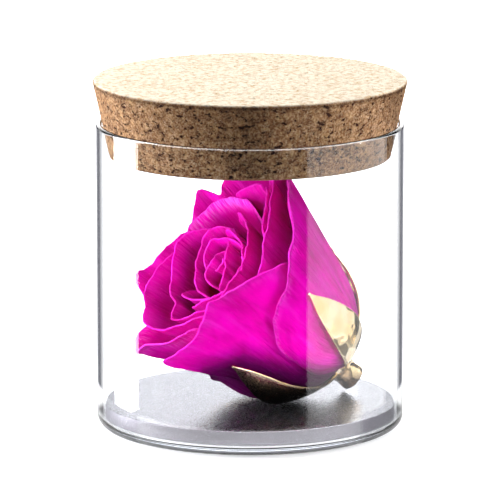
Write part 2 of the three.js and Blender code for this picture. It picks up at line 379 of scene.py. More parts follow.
def ramp(tree, factor, stops):
    """Colours or greys along a factor, from (place, colour) pairs."""
    made = node(tree, "ValToRGB", {"Fac": factor})
    elements = made.color_ramp.elements
    while len(elements) < len(stops):
        elements.new(0.5)
    for element, (place, color) in zip(elements, stops):
        element.position = place
        element.color = (*color, 1) if hasattr(color, "__len__") else (color, color, color, 1)
    return made.outputs["Color"]


def ramp_over(tree, measure, size, stops):
    """A ramp along a measure, whose places are shares of a size."""
    return ramp(tree, math_node(tree, "DIVIDE", measure, size), stops)


def scaled(tree, source, scale):
    return node(tree, "Mapping", {"Vector": source, "Scale": scale}).outputs["Vector"]


def noise(tree, vector, scale, detail=2.0, roughness=0.5):
    inputs = {"Vector": vector, "Scale": scale, "Detail": detail, "Roughness": roughness}
    return node(tree, "TexNoise", inputs).outputs["Fac"]


def mixed(tree, factor, first, second, blend="MIX"):
    made = node(tree, "Mix", {"Factor": factor}, data_type="RGBA", blend_type=blend)
    for socket, value in ((made.inputs[6], first), (made.inputs[7], second)):
        feed(tree, socket, value if isinstance(value, bpy.types.NodeSocket) else (*value, 1))
    return made.outputs[2]


def bumped(tree, height, distance, below=None):
    inputs = {"Height": height, "Distance": distance, "Strength": 1.0}
    if below is not None:
        inputs["Normal"] = below
    return node(tree, "Bump", inputs).outputs["Normal"]


# Petal material

# Painted sheen beside the rims and a painted highlight on them, in millimetres from the rim
SHEEN_REACH = 7.0
RIM_HIGHLIGHT_WIDTH = 0.7
# Painted shade on the undersides over the disc, in metres, in the part's frame
UNDERSIDE_SHADE_TOP = 0.04
UNDERSIDE_SHADE_MIDDLE = 0.002
UNDERSIDE_SHADE_SLANT = 0.35
TIP_START = 0.025
TIP_REACH = 0.05


def streaks(tree, place, across, along, detail=2.0, roughness=0.5):
    """Noise on a petal, with that many waves in a millimetre across it and along it."""
    return noise(tree, scaled(tree, place, (across, along, 1)), 1.0, detail, roughness)


def petal_pinks(tree, place, ridges):
    """Blotched pink, with paler pleats and streaks that run up the petal."""
    blotches = streaks(tree, place, 0.12, 0.05, 3.0)
    pleats = ramp(tree, streaks(tree, place, 0.28, 0.02), [(0.52, 0.0), (0.68, 0.5)])
    crests = ramp(tree, ridges, [(0.35, 0.0), (0.75, 0.35)])
    body = ramp(tree, blotches, [
        (0.35, (0.6, 0.0, 0.25)),
        (0.5, (0.8, 0.0, 0.4)),
        (0.64, (0.93, 0.0, 0.52)),
    ])
    pleated = mixed(tree, pleats, body, (1.0, 0.025, 0.68))
    return mixed(tree, crests, pleated, (0.93, 0.0, 0.55))


def petal_rims(tree, place, velvet, color):
    """Painted sheen in pale streaks beside the rims of velvety petals, and an uneven painted highlight on
    every petal's edge.
    """
    rim = attribute(tree, "rim")
    # Painted sheen: pale streaks beside the rims of velvety petals.
    beside_rim = ramp_over(tree, rim, SHEEN_REACH, [(0.0, 1.0), (0.5, 0.8), (1.0, 0.0)])
    sheen_strands = ramp(tree, streaks(tree, place, 2.4, 0.16), [(0.42, 0.0), (0.62, 1.0)])
    down = math_node(tree, "MULTIPLY", math_node(tree, "MULTIPLY", beside_rim, velvet), sheen_strands)
    sheened = mixed(tree, down, color, (1.0, 0.1, 0.72))
    # Painted highlight: an uneven pale edge along every rim.
    rim_highlight = ramp_over(tree, rim, RIM_HIGHLIGHT_WIDTH, [(0.0, 0.65), (0.5, 0.35), (1.0, 0.0)])
    uneven = ramp(tree, streaks(tree, place, 0.25, 0.25), [(0.35, 0.25), (0.65, 1.0)])
    return mixed(tree, math_node(tree, "MULTIPLY", rim_highlight, uneven), sheened, (1.0, 0.045, 0.74))


def petal_shadows(tree, color):
    """Painted shade: purple at the outer petals' feet, a dark underside over the disc, and crimson deep in
    the bloom.
    """
    # Painted shade at the outer petals' feet, by the calyx.
    foot = math_node(tree, "MULTIPLY", attribute(tree, "foot"), 0.85)
    foot_shaded = mixed(tree, foot, color, (0.2, 0.0, 0.13))
    # Painted shade on the low undersides over the disc, to the right of the front petal's tip.
    spot = axes(tree, object_place(tree))
    sideways = math_node(tree, "ABSOLUTE", math_node(tree, "ADD", spot["X"], UNDERSIDE_SHADE_MIDDLE))
    slant = math_node(tree, "MULTIPLY_ADD", sideways, UNDERSIDE_SHADE_SLANT, spot["Z"])
    low = ramp_over(tree, slant, UNDERSIDE_SHADE_TOP, [(0.64, 0.97), (0.7, 0.85), (0.78, 0.42), (0.87, 0.0)])
    from_tip = math_node(tree, "ADD", spot["X"], TIP_START)
    past_tip = ramp_over(tree, from_tip, TIP_REACH, [(0.04, 0.0), (0.2, 1.0)])
    underneath = mixed(tree, math_node(tree, "MULTIPLY", low, past_tip), foot_shaded, (0.07, 0.0, 0.05))
    # Painted shade: crimson deep in the bloom.
    return mixed(tree, attribute(tree, "depth"), underneath, (0.18, 0.0, 0.018))


def petal_relief(tree, place, ridges, velvet):
    """Wrinkles, the ridges, which stand higher on velvety petals, and a fine pile."""
    wrinkled = bumped(tree, streaks(tree, place, 0.35, 0.05), 0.001)
    ridge_height = math_node(tree, "MULTIPLY_ADD", velvet, 0.0005, 0.00018)
    ridged = bumped(tree, ridges, ridge_height, wrinkled)
    return bumped(tree, streaks(tree, place, 5, 3), 0.00005, ridged)


def petal_material():
    """Velvety pink petals, with painted sheen and a painted highlight at their rims, and painted shade
    underneath and deep in the bloom.
    """
    material, tree, shader = new_material("petal_pink")
    place = node(tree, "UVMap", uv_map="along").outputs["UV"]
    velvet = attribute(tree, "velvet")
    ridges = streaks(tree, place, 1.6, 0.1, 3.0, 0.6)
    color = petal_pinks(tree, place, ridges)
    color = petal_rims(tree, place, velvet, color)
    color = petal_shadows(tree, color)
    normal = petal_relief(tree, place, ridges, velvet)
    finish_with(tree, shader, Base_Color=color, Normal=normal, Roughness=0.62)
    shader.inputs["Subsurface Weight"].default_value = 0.06
    shader.inputs["Subsurface Radius"].default_value = (1.0, 0.05, 0.7)
    shader.inputs["Subsurface Scale"].default_value = 0.0008
    shader.inputs["Specular IOR Level"].default_value = 0.02
    shader.inputs["Sheen Weight"].default_value = 0.06
    shader.inputs["Sheen Roughness"].default_value = 0.45
    shader.inputs["Sheen Tint"].default_value = (1.0, 0.02, 0.75, 1)
    return material


# Gold material

# Painted shade low on the gilt, sparing the stub but for its underside
LOW_SHADE_TOP = 0.03
STUB_REACH = 0.04


def gold_material():
    """Polished gilt with slow waves and a few dull spots.

    Low down it has painted shade, dark brown by the disc, but the stub only underneath.
    """
    material, tree, shader = new_material("gilt")
    place = object_place(tree)
    waves = noise(tree, place, 160.0, 1.0)
    spots = noise(tree, place, 900.0, 2.0)
    unshaded_gilt = mixed(tree, ramp(tree, waves, [(0.3, 0.0), (0.7, 1.0)]), (0.97, 0.7, 0.36), (1.0, 0.83, 0.55))
    spot = axes(tree, place)
    # Painted shade: dark brown low down by the disc; the stub only underneath.
    low = ramp_over(tree, spot["Z"], LOW_SHADE_TOP, [(0.3, 1.0), (0.5, 0.85), (0.75, 0.0)])
    short_of_stub = ramp_over(tree, spot["X"], STUB_REACH, [(0.55, 1.0), (0.72, 0.0)])
    lowest = ramp_over(tree, spot["Z"], LOW_SHADE_TOP, [(0.4, 0.9), (0.52, 0.0)])
    painted_low_shade = math_node(tree, "MAXIMUM", math_node(tree, "MULTIPLY", low, short_of_stub), lowest)
    color = mixed(tree, painted_low_shade, unshaded_gilt, (0.075, 0.026, 0.009))
    roughness = ramp(tree, spots, [(0.45, 0.07), (0.8, 0.2)])
    normal = bumped(tree, spots, 0.00001, bumped(tree, waves, 0.0006))
    finish_with(tree, shader, Base_Color=color, Normal=normal, Roughness=roughness, Metallic=1.0)
    return material


# Glass material

GLASS_ABSORPTION = 9.0


def glass_material():
    """Clear glass that lets the lamps' light through to what it holds."""
    material, tree, shader = new_material("clear_glass")
    finish_with(tree, shader, Base_Color=(0.97, 0.985, 1.0, 1), Roughness=0.0, IOR=1.5)
    shader.inputs["Transmission Weight"].default_value = 1.0
    shadow = node(tree, "LightPath").outputs["Is Shadow Ray"]
    clear = node(tree, "BsdfTransparent", {"Color": (0.95, 0.97, 0.98, 1)}).outputs[0]
    both = node(tree, "MixShader", {0: shadow, 1: shader.outputs[0], 2: clear}).outputs[0]
    tree.links.new(both, tree.nodes["Material Output"].inputs["Surface"])
    depth = node(tree, "VolumeAbsorption", {"Color": (0.36, 0.4, 0.5, 1), "Density": GLASS_ABSORPTION})
    tree.links.new(depth.outputs[0], tree.nodes["Material Output"].inputs["Volume"])
    return material


# Cork material

def cork_browns(tree, place, grain):
    """Mottled granules of close tones, with pale and dark dust and thin pale fibres."""
    mottle = noise(tree, place, 520.0, 4.0, 0.68)
    brown = ramp(tree, mottle, [
        (0.36, (0.058, 0.023, 0.012)),
        (0.45, (0.13, 0.056, 0.027)),
        (0.55, (0.22, 0.108, 0.052)),
        (0.68, (0.44, 0.265, 0.125)),
    ])
    cells = node(tree, "TexVoronoi", {"Vector": place, "Scale": 520.0})
    tone = node(tree, "SeparateColor", {0: cells.outputs["Color"]}).outputs[0]
    tones = ramp(tree, tone, [(0.0, (0.1, 0.042, 0.016)), (1.0, (0.37, 0.205, 0.09))])
    granules = mixed(tree, 0.3, brown, tones)
    pale_dust = ramp(tree, grain, [(0.46, 0.0), (0.74, 0.6)])
    dark_dust = ramp(tree, grain, [(0.3, 0.6), (0.45, 0.0)])
    dusted = mixed(tree, pale_dust, granules, (0.6, 0.42, 0.25))
    dusted = mixed(tree, dark_dust, dusted, (0.06, 0.025, 0.012))
    bending = math_node(tree, "ABSOLUTE", math_node(tree, "SUBTRACT", noise(tree, place, 700.0, 1.0), 0.5))
    scattered = ramp(tree, noise(tree, place, 300.0, 1.0), [(0.5, 0.0), (0.6, 0.6)])
    fibres = math_node(tree, "MULTIPLY", ramp(tree, bending, [(0.0, 1.0), (0.022, 0.0)]), scattered)
    return mixed(tree, fibres, dusted, (0.62, 0.45, 0.3))


def cork_material():
    """Pressed cork: brown with dark specks and pits on its side, and cream with brown flecks on top."""
    material, tree, shader = new_material("cork")
    place = object_place(tree)
    # The pit mark darkens the pits, and it also paints a shadow line under the top edge.
    pit = attribute(tree, "pit")
    grain = noise(tree, place, 1500.0, 3.0, 0.6)
    spread = noise(tree, scaled(tree, place, (1, 1, 1.5)), 520.0, 3.0, 0.6)
    speck = ramp(tree, spread, [(0.58, 0.0), (0.63, 1.0)])
    dark = math_node(tree, "MAXIMUM", speck, pit)
    side = mixed(tree, dark, cork_browns(tree, place, grain), (0.022, 0.007, 0.004))
    flecks = ramp(tree, noise(tree, place, 620.0, 3.0, 0.7), [(0.46, 0.0), (0.66, 1.0)])
    cream = mixed(tree, flecks, (0.75, 0.68, 0.56), (0.52, 0.35, 0.19))
    top = mixed(tree, math_node(tree, "MULTIPLY", pit, 0.8), cream, (0.3, 0.15, 0.06))
    color = mixed(tree, attribute(tree, "pale"), side, top)
    height = math_node(tree, "SUBTRACT", grain, math_node(tree, "MULTIPLY", speck, 1.2))
    normal = bumped(tree, height, 0.0004)
    finish_with(tree, shader, Base_Color=color, Normal=normal, Roughness=0.85)
    shader.inputs["Specular IOR Level"].default_value = 0.08
    return material


# Disc material

def disc_material():
    """Dark pebbled lacquer that mirrors softly on top, and a paler grey on the cut edge."""
    material, tree, shader = new_material("grey_board")
    place = object_place(tree)
    pebbles = noise(tree, place, 1700.0, 3.0, 0.7)
    clouds = noise(tree, place, 60.0, 2.0)
    sparkle = ramp(tree, noise(tree, place, 2600.0, 1.0), [(0.62, 0.0), (0.74, 1.0)])
    up = axes(tree, node(tree, "NewGeometry").outputs["Normal"])["Z"]
    on_top = ramp(tree, up, [(0.5, 0.0), (0.7, 1.0)])
    lacquer = ramp(tree, clouds, [(0.3, (0.075, 0.07, 0.085)), (0.7, (0.095, 0.09, 0.105))])
    cut = ramp(tree, clouds, [(0.3, (0.27, 0.25, 0.28)), (0.7, (0.33, 0.31, 0.34))])
    body = mixed(tree, on_top, cut, lacquer)
    grained = mixed(tree, ramp(tree, pebbles, [(0.42, 0.0), (0.68, 0.3)]), body, (0.5, 0.49, 0.54))
    color = mixed(tree, sparkle, grained, (0.6, 0.59, 0.65))
    gloss = ramp(tree, pebbles, [(0.3, 0.2), (0.7, 0.34)])
    roughness = mixed(tree, on_top, (0.5, 0.5, 0.5), gloss)
    normal = bumped(tree, pebbles, 0.000012)
    finish_with(tree, shader, Base_Color=color, Normal=normal, Roughness=roughness, Metallic=0.9)
    return material


GLASS = glass_material()
CORK = cork_material()
BOARD = disc_material()
PETAL = petal_material()
GOLD = gold_material()


# Jar

def make_jar():
    """The straight jar. Rows close to each rounding keep the wall's shading true."""
    lip = WALL / 2
    beside = 0.2
    rings = (15, 30, 40)
    heights = (20, 35, 50, 65, 80, JAR_HEIGHT - lip - beside)
    inner = JAR_RADIUS - WALL
    inner_corner = inner - INNER_ROUNDING
    profile = [
        (0, 0),
        *[(r, 0) for r in (*rings, JAR_RADIUS - FOOT_ROUNDING - beside)],
        *arc(JAR_RADIUS - FOOT_ROUNDING, FOOT_ROUNDING, FOOT_ROUNDING, -90, 0, 12),
        *[(JAR_RADIUS, h) for h in (FOOT_ROUNDING + beside, *heights)],
        *arc(JAR_RADIUS - lip, JAR_HEIGHT - lip, lip, 0, 180, 12),
        *[(inner, h) for h in (*heights[::-1], JAR_FLOOR + INNER_ROUNDING + beside)],
        *arc(inner_corner, JAR_FLOOR + INNER_ROUNDING, INNER_ROUNDING, 0, -90, 6),
        *[(r, JAR_FLOOR) for r in (inner_corner - beside, *rings[::-1])],
        (0, JAR_FLOOR),
    ]
    points, faces = lathe(profile, ROUND_SEGMENTS)
    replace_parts(mesh_object("jar", points, faces, GLASS), "glass_jar")


# Disc

def make_disc():
    """The board: bevelled below, and finely rounded round its top."""
    rounding = 0.25
    beside = 0.1
    profile = [
        (0, DISC_FOOT),
        (DISC_RADIUS - DISC_BEVEL, DISC_FOOT),
        (DISC_RADIUS, DISC_FOOT + DISC_BEVEL),
        *arc(DISC_RADIUS - rounding, DISC_TOP - rounding, rounding, 0, 90, 4),
        *[(r, DISC_TOP) for r in (DISC_RADIUS - rounding - beside, 40, 30, 20, 10)],
        (0, DISC_TOP),
    ]
    points, faces = lathe(profile, ROUND_SEGMENTS)
    disc = mesh_object("disc", points, faces, BOARD)
    disc.modifiers.new("edges", "EDGE_SPLIT").split_angle = math.radians(40)
    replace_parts(disc, "base_disc")


# Lid

def lid_profile():
    """The lid's outline, with close even rows up its side and over its top."""
    side_low = np.array([LID_FOOT_RADIUS, LID_FOOT + LID_BEVEL])
    side_high = np.array([LID_TOP_RADIUS, LID_TOP - LID_BEVEL])
    rows = int(np.linalg.norm(side_high - side_low) / LID_STEP)
    side = [tuple(side_low + (side_high - side_low) * k / rows) for k in range(rows + 1)]
    foot = [(r, LID_FOOT) for r in np.arange(4, LID_FOOT_RADIUS - LID_BEVEL - 1, 4)]
    top = [(r, LID_TOP) for r in np.arange(LID_TOP_RADIUS - LID_BEVEL - 0.01, 0.6, -LID_STEP * 1.1)]
    return [(0, LID_FOOT), *foot, (LID_FOOT_RADIUS - LID_BEVEL, LID_FOOT), *side, *top, (0, LID_TOP)]


def into_lid(points):
    """Directions into the lid: towards its axis on the side, down on the top, and none on the foot."""
    edge = 0.3
    height = points[:, 2]
    radial = np.linalg.norm(points[:, :2], axis=1)
    to_axis = points * np.array([-1, -1, 0]) / np.maximum(radial, 1)[:, None]
    down = np.zeros_like(points)
    down[height > LID_TOP - edge, 2] = -1
    on_side = (height > LID_FOOT + edge) & (height < LID_TOP - edge)
    return np.where(on_side[:, None], to_axis, down)


def chip_centre(draw, where):
    """A random spot on the lid's side, on its top or on the edge between them."""
    turn = draw.uniform(0, 2 * np.pi)
    if where == "side":
        height = draw.uniform(LID_FOOT + 1, LID_TOP - 1)
        widening = (LID_TOP_RADIUS - LID_FOOT_RADIUS) * (height - LID_FOOT) / (LID_TOP - LID_FOOT)
        radius = LID_FOOT_RADIUS + widening
    elif where == "edge":
        height = LID_TOP - LID_BEVEL / 2
        radius = LID_TOP_RADIUS
    else:
        height = LID_TOP
        radius = LID_TOP_RADIUS * math.sqrt(draw.uniform(0, 1))
    return np.array([radius * math.cos(turn), radius * math.sin(turn), height])


def pressed_chips(points):
    """How deep chips and pits press the skin in at each point, and how dark they make it."""
    draw = np.random.default_rng(7)
    depth = np.zeros(len(points))
    pit = np.zeros(len(points))
    for where, count in CHIPS.items():
        for _ in range(count):
            offset = points - chip_centre(draw, where)
            size = draw.uniform(*CHIP_SIZES) * (1.0 if where == "side" else 0.8)
            near = np.linalg.norm(offset * np.array([1, 1, draw.uniform(0.8, 1.6)]), axis=1)
            mark = hump(near, size)
            pit = np.maximum(pit, mark * draw.uniform(0.4, 1.0))
            depth = np.maximum(depth, mark * size * CHIP_DEPTH)
    return depth, pit


def make_lid():
    """The tapered lid, with chips and pits pressed into its wavy skin and a painted shadow line under its
    top.
    """
    points, faces = lathe(lid_profile(), LID_SEGMENTS)
    inward = into_lid(points)
    depth, pit = pressed_chips(points)
    points = points + inward * depth[:, None]
    x, y, z = points.T
    wave = SKIN_WAVE * np.sin(x * 3.1 + np.sin(y * 2.3)) * np.sin(z * 2.7)
    points = points + inward * wave[:, None]
    x, y, z = points.T
    # Painted shadow: a dark line just under the top edge, carried in the pit mark.
    shadow_under_edge = 0.75 * hump(z - (LID_TOP - 1.1), 0.45) * (0.6 + 0.4 * np.sin(x * 1.3) ** 2)
    marks = {
        "pit": np.maximum(smooth(0.3, 0.9, pit), shadow_under_edge),
        "pale": smooth(LID_TOP - 0.55, LID_TOP - 0.3, z - 0.3 * depth),
    }
    lid = mesh_object("lid", points, faces, CORK, marks=marks)
    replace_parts(lid, "cork_lid")


# Rose

# The rims of the petals, each from one side to the other in rows of turn, height, layer and lean
OUTER_PETALS = {
    "front": [
        (-99, 24.5, 1, 0), (-88, 28.5, 1, 0), (-78, 33, 1, 0), (-69, 37.5, 1, 0), (-62, 42, 1, 0.2),
        (-58, 47.5, 0.995, 1), (-57.5, 54, 0.99, 4.2), (-56.5, 61.5, 0.99, 5.4), (-52.5, 60, 0.985, 3.8),
        (-46.5, 59, 0.98, 2.7), (-39, 59.5, 0.97, 2), (-31, 61, 0.965, 1.3),
        (-24, 62.5, 0.955, 0.7), (-19, 60.5, 0.95, 0), (-11, 59, 0.945, 0), (0, 58, 0.94, 0),
        (14, 55.5, 0.93, 0), (26, 52, 0.925, 0), (36, 44, 0.92, 0),
    ],
    "right": [
        (-19, 26, 1, 0), (-15, 35, 1, 0), (0, 43, 1, 0), (15, 48, 1, 0), (28, 53.5, 0.99, 0),
        (43, 57.5, 0.98, 0), (58, 62.5, 0.97, -1), (80, 63.5, 0.98, 0), (100, 60.5, 0.94, 0),
        (115, 50, 0.9, 0),
    ],
    "top": [
        (97, 48, 0.99, 0), (108, 60, 0.98, 0), (124, 64, 0.96, 0), (135, 61, 0.955, 0),
        (142, 59, 0.95, 0), (148, 57, 0.94, 0), (153, 60.5, 0.94, 1.5), (157, 63, 0.93, 2.5),
        (165, 59, 0.93, 1), (175, 55, 0.92, 0), (187, 46, 0.9, 0),
    ],
    "behind": [
        (-205, 44, 0.99, 0), (-183, 54, 0.97, 0), (-166, 57, 0.96, 0), (-152, 58.5, 0.96, 1),
        (-146, 61, 0.96, 2), (-135, 58, 0.93, 0), (-118, 48, 0.9, 0),
    ],
    "left": [
        (-137, 42, 0.99, 0), (-118, 52, 0.98, 1), (-100, 58, 0.94, 4), (-88, 60, 0.92, 5),
        (-77, 61, 0.9, 3), (-60, 59, 0.88, 2), (-46, 58, 0.87, 1), (-38, 50, 0.86, 0),
    ],
}
INNER_PETALS = {
    "right_inner": [
        (2, 50, 0.84, 0), (8, 53.7, 0.845, 0), (18, 56, 0.835, 0), (30, 59, 0.81, 0), (44, 60, 0.8, 0),
        (69, 60, 0.79, 0), (93, 61, 0.8, 4.5), (104, 57, 0.8, 3.5),
    ],
    "right_core": [
        (30, 52, 0.75, 0), (47, 59, 0.735, 0), (66, 60, 0.725, 0.5), (84, 61, 0.735, 3),
        (98, 60, 0.745, 4.5),
    ],
    "front_inner": [
        (-60, 46, 0.82, 0), (-40, 53, 0.81, 0), (-16, 54, 0.79, 0), (0, 53, 0.78, 0), (15, 46, 0.77, 0),
    ],
    "top_inner": [
        (101, 60.5, 0.75, 4), (109, 60, 0.775, 2.5), (125, 59, 0.785, 1), (131, 57.5, 0.775, 2),
        (145, 54, 0.84, 3.5),
    ],
    "top_core": [
        (95, 53, 0.645, 0), (108, 58, 0.67, 1.5), (123, 59, 0.7, 2), (145, 59, 0.78, 3), (160, 59, 0.8, 3),
        (178, 58, 0.8, 2), (186, 52, 0.79, 0),
    ],
    "left_inner": [
        (-172, 52, 0.8, 0), (-165, 57, 0.8, 1.5), (-145, 60, 0.79, 2), (-129, 60.5, 0.79, 2),
        (-115, 60, 0.79, 2.5), (-102, 60, 0.79, 3.5), (-90, 57.5, 0.775, 3), (-73, 56, 0.72, 2),
        (-53, 56, 0.74, 0), (-42, 52, 0.735, 0),
    ],
    "left_core": [
        (-206, 52, 0.71, 0), (-192, 57, 0.725, 0), (-176, 60, 0.735, 0), (-163, 59.5, 0.705, 0),
        (-138, 57, 0.67, 0), (-117, 56, 0.655, 0), (-104, 55, 0.65, 0), (-91, 56, 0.66, 3),
        (-80, 54.5, 0.65, 1.5), (-65, 54, 0.63, 0.5), (-48, 53, 0.61, 0),
    ],
    "right_heart": [
        (-36, 50, 0.74, 0), (-26, 55, 0.72, 0), (3, 55, 0.605, 0), (22, 56, 0.56, 0), (51, 57, 0.525, 0),
        (85, 57, 0.54, 0), (109, 58, 0.6, 0), (120, 55, 0.6, 0),
    ],
    "left_heart": [
        (-224, 52, 0.6, 0), (-209, 56, 0.63, 0), (-192, 56, 0.655, 0), (-178, 55, 0.59, 0),
        (-156, 54, 0.525, 0), (-140, 53, 0.495, 0), (-114, 52, 0.46, 0), (-92, 52, 0.425, 0),
        (-75, 48, 0.42, 0),
    ],
    "front_heart": [
        (-90, 50, 0.57, 0), (-82, 53, 0.56, 0), (-53, 53, 0.495, 0), (-19, 53, 0.54, 0), (14, 53, 0.445, 0),
        (41, 54, 0.41, 0), (63, 54, 0.385, 0), (105, 55, 0.42, 0), (133, 56, 0.52, 0), (145, 52, 0.52, 0),
    ],
    "low_heart": [
        (-45, 50, 0.4, 0), (-87, 53, 0.5, 0), (-112, 54, 0.58, 0), (-125, 52, 0.585, 0),
        (-140, 47, 0.59, 0),
    ],
    "back_heart": [
        (100, 48, 0.36, 0), (127, 53, 0.44, 0), (151, 54, 0.52, 0), (167, 55, 0.56, 0), (195, 53, 0.47, 0),
        (212, 48, 0.43, 0),
    ],
    "bud_right": [
        (-70, 50, 0.3, 0), (-28, 53, 0.27, 0), (4, 54, 0.22, 0), (40, 56, 0.2, 0), (76, 57.5, 0.3, 0),
        (105, 56, 0.32, 0),
    ],
    "bud_left": [
        (-240, 53, 0.3, 0), (-200, 55, 0.26, 0), (-170, 55, 0.24, 0), (-113, 54, 0.3, 0), (-80, 51, 0.3, 0),
    ],
    "bud_centre": [
        (-180, 52, 0.13, 0), (-90, 54, 0.13, 0), (0, 55, 0.13, 0), (90, 55, 0.12, 0), (150, 53, 0.11, 0),
    ],
}

SEPALS = [
    {"foot": -46, "tip": -45, "height": 38.5, "bulge": 1},
    {"foot": 25, "tip": 21, "height": 38.5, "bulge": 1.2},
    {"foot": 97, "tip": 106, "height": 28, "bulge": 0.3},
    {"foot": 167, "tip": 165, "height": 33, "bulge": 1.5},
    {"foot": 238, "tip": 236, "height": 34, "bulge": 1},
]


def ruffle(turn, height, layer):
    """Slow waves and fine wrinkles that neighbouring petals share, so that they never cross."""
    angle = np.radians(turn)
    wave = np.sin(angle * 9 + 5 * layer) + 0.7 * np.sin(angle * 17 + 0.11 * height + 9 * layer)
    wrinkle = np.sin(angle * 43 + 0.09 * height + 2 * np.sin(0.13 * height))
    wrinkle = wrinkle * np.sin(angle * 7 + 0.05 * height)
    fading = smooth(*UNEVEN_HEIGHTS, height) * np.clip(layer, 0.1, 1) ** 2
    return (RUFFLE * wave + WRINKLE * wrinkle) * fading


def tatters(across, seed):
    """The ragged line of a rim, of three waves of different lengths."""
    ragged = 0.22 * np.sin(across * 31 + seed) + 0.16 * np.sin(across * 67 + 2 * seed)
    return ragged + 0.12 * np.sin(across * 143 + 3 * seed) * np.sin(across * 23 + seed)


def petal_surface(rim, start, seed, roll):
    """A petal's middle surface: up the cup from its narrow foot to its rim, whose lip curls outward."""
    rim_at = through(rim)
    middle_turn = (rim[0][0] + rim[-1][0]) / 2
    raggedness = abs(rim[0][0] - rim[-1][0]) * rim[0][2] / 100

    def surface(across, along):
        values = rim_at(across)
        rim_turn, rim_height, layer, lean = (values[..., k] for k in range(4))
        rim_height = rim_height + tatters(across, seed) * raggedness
        widening = PETAL_WAIST + (1 - PETAL_WAIST) * smooth(0, 0.5, along)
        turn = middle_turn + (rim_turn - middle_turn) * widening
        height = start + (rim_height - start) * along
        curl = roll * smooth(rim_height - LIP_WIDTH, rim_height, height) ** 2
        outward = lean * smooth(0.45, 1, along)
        drop = LIP_DROP * np.maximum(outward, 0)
        return in_part(in_cup(layer, turn, height, outward + curl + ruffle(turn, height, layer), drop))

    return surface


def make_petal(name, rim, start, seed):
    """One petal, with the marks that its material reads.

    They are the distance to the rim, the painted shade deep in the bloom, how velvety it is, and the
    painted shade at its foot.
    """
    turns = [row[0] for row in rim]
    layers = [row[2] for row in rim]
    width = math.radians(abs(turns[-1] - turns[0])) * FACE_RADIUS * sum(layers) / len(layers)
    length = max(row[1] for row in rim) - start + PETAL_CURVE
    surface = petal_surface(rim, start, seed, LIP_ROLLS.get(name, LIP_ROLL))
    points, faces, place, distance, side = sheet(
        surface, width, length, PETAL_THICKNESS, PETAL_STEP, PETAL_ROUNDING, RIM_BEAD,
    )
    # Painted shade deep in the bloom: inner faces, and whole inner petals, darken away from the rim, more
    # in the inner layers.
    inside = side if turns[-1] > turns[0] else 1 - side
    covered = np.maximum(inside, INNER_COVER if name in INNER_PETALS else 0.0)
    shade = covered * np.interp(min(layers), *SHADE_OF_LAYER)
    marks = {
        "rim": distance,
        "depth": shade * smooth(0.5, SHADE_REACH, distance),
        "velvet": np.full(len(points), VELVET.get(name, PLAIN_VELVET)),
        # Painted shade at the foot of the outer petals.
        "foot": (1 - smooth(*FOOT_SHADE, place[:, 1])) * (name in OUTER_PETALS),
    }
    apart = seed * 37
    piece = mesh_object(name, points, faces, PETAL, uv=place + apart, marks=marks)
    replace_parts(piece, "petal_" + name)


def make_rose():
    for seed, (name, rim) in enumerate(OUTER_PETALS.items()):
        make_petal(name, rim, OUTER_START, seed)
    for seed, (name, rim) in enumerate(INNER_PETALS.items(), start=len(OUTER_PETALS)):
        make_petal(name, rim, INNER_START, seed)


# Calyx

def sepal_surface(foot, tip, height, bulge):
    width_at = through(SEPAL_HALF_WIDTHS)

    def surface(across, along):
        up = SEPAL_START + (height - SEPAL_START) * along
        turn = foot + (tip - foot) * along
        clearance = SEPAL_CLEARANCE * smooth(HIP_BLEND, 0, up)
        outward = clearance + bulge * np.sin(np.pi * np.clip(along, 0, 1)) ** 2
        half_width = width_at(along)[..., 0] / (cup_radius(up, turn) + outward)
        side = 2 * across - 1
        return in_part(in_cup(np.ones_like(up), turn + side * np.degrees(half_width), up, outward))

    return surface


def make_calyx():
    """The stub, the hip and the receptacle in one turned shape, joined to the sepals."""
    profile = through([
        (0.01, -STUB_LENGTH),
        (STUB_RADIUS - 0.6, -STUB_LENGTH),
        (STUB_RADIUS, -STUB_LENGTH + 0.7),
        (STUB_RADIUS - 0.2, -7.5),
        (STUB_RADIUS + 0.4, -5),
        (STUB_RADIUS + 1.4, -3.4),
        (RECEPTACLE_RADIUS - 0.5, -1.4),
        (RECEPTACLE_RADIUS, 0),
        (RECEPTACLE_RADIUS - 0.8, RECEPTACLE_HEIGHT - 0.4),
        (0.01, RECEPTACLE_HEIGHT),
    ])(np.linspace(0, 1, CALYX_ROWS))
    rows = [(0, -STUB_LENGTH), *[tuple(p) for p in profile[1:-1]], (0, RECEPTACLE_HEIGHT)]
    points, faces = lathe(rows, CALYX_SEGMENTS)
    calyx = mesh_object("calyx", in_part(points), faces, GOLD)
    for sepal in SEPALS:
        length = SEPAL_CURVE * (sepal["height"] - SEPAL_START)
        surface = sepal_surface(**sepal)
        points, faces, *_ = sheet(surface, SEPAL_WIDTH, length, SEPAL_THICKNESS, SEPAL_STEP, SEPAL_ROUNDING)
        leaf = mesh_object("leaf", points, faces, GOLD)
        union = calyx.modifiers.new("union", "BOOLEAN")
        union.operation = "UNION"
        union.object = leaf
        union.solver = "EXACT"
        bpy.context.view_layer.objects.active = calyx
        bpy.ops.object.modifier_apply(modifier=union.name)
        bpy.data.objects.remove(leaf)
    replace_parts(calyx, "gilded_calyx")


make_jar()
make_disc()
make_lid()
make_rose()
make_calyx()


# Camera

CAMERA_PLACE = (0.0, -1.766294, 0.419116)
CAMERA_DROP = 11.574
FOCAL_LENGTH = 398.82


def make_camera():
    data = bpy.data.cameras.new("camera")
    data.sensor_width = 36
    data.lens = FOCAL_LENGTH
    data.clip_start = 0.1
    data.clip_end = 50
    camera = bpy.data.objects.new("camera", data)
    camera.location = CAMERA_PLACE
    camera.rotation_euler = (math.radians(90 - CAMERA_DROP), 0, 0)
    bpy.context.scene.collection.objects.link(camera)
    bpy.context.scene.camera = camera


# Floor

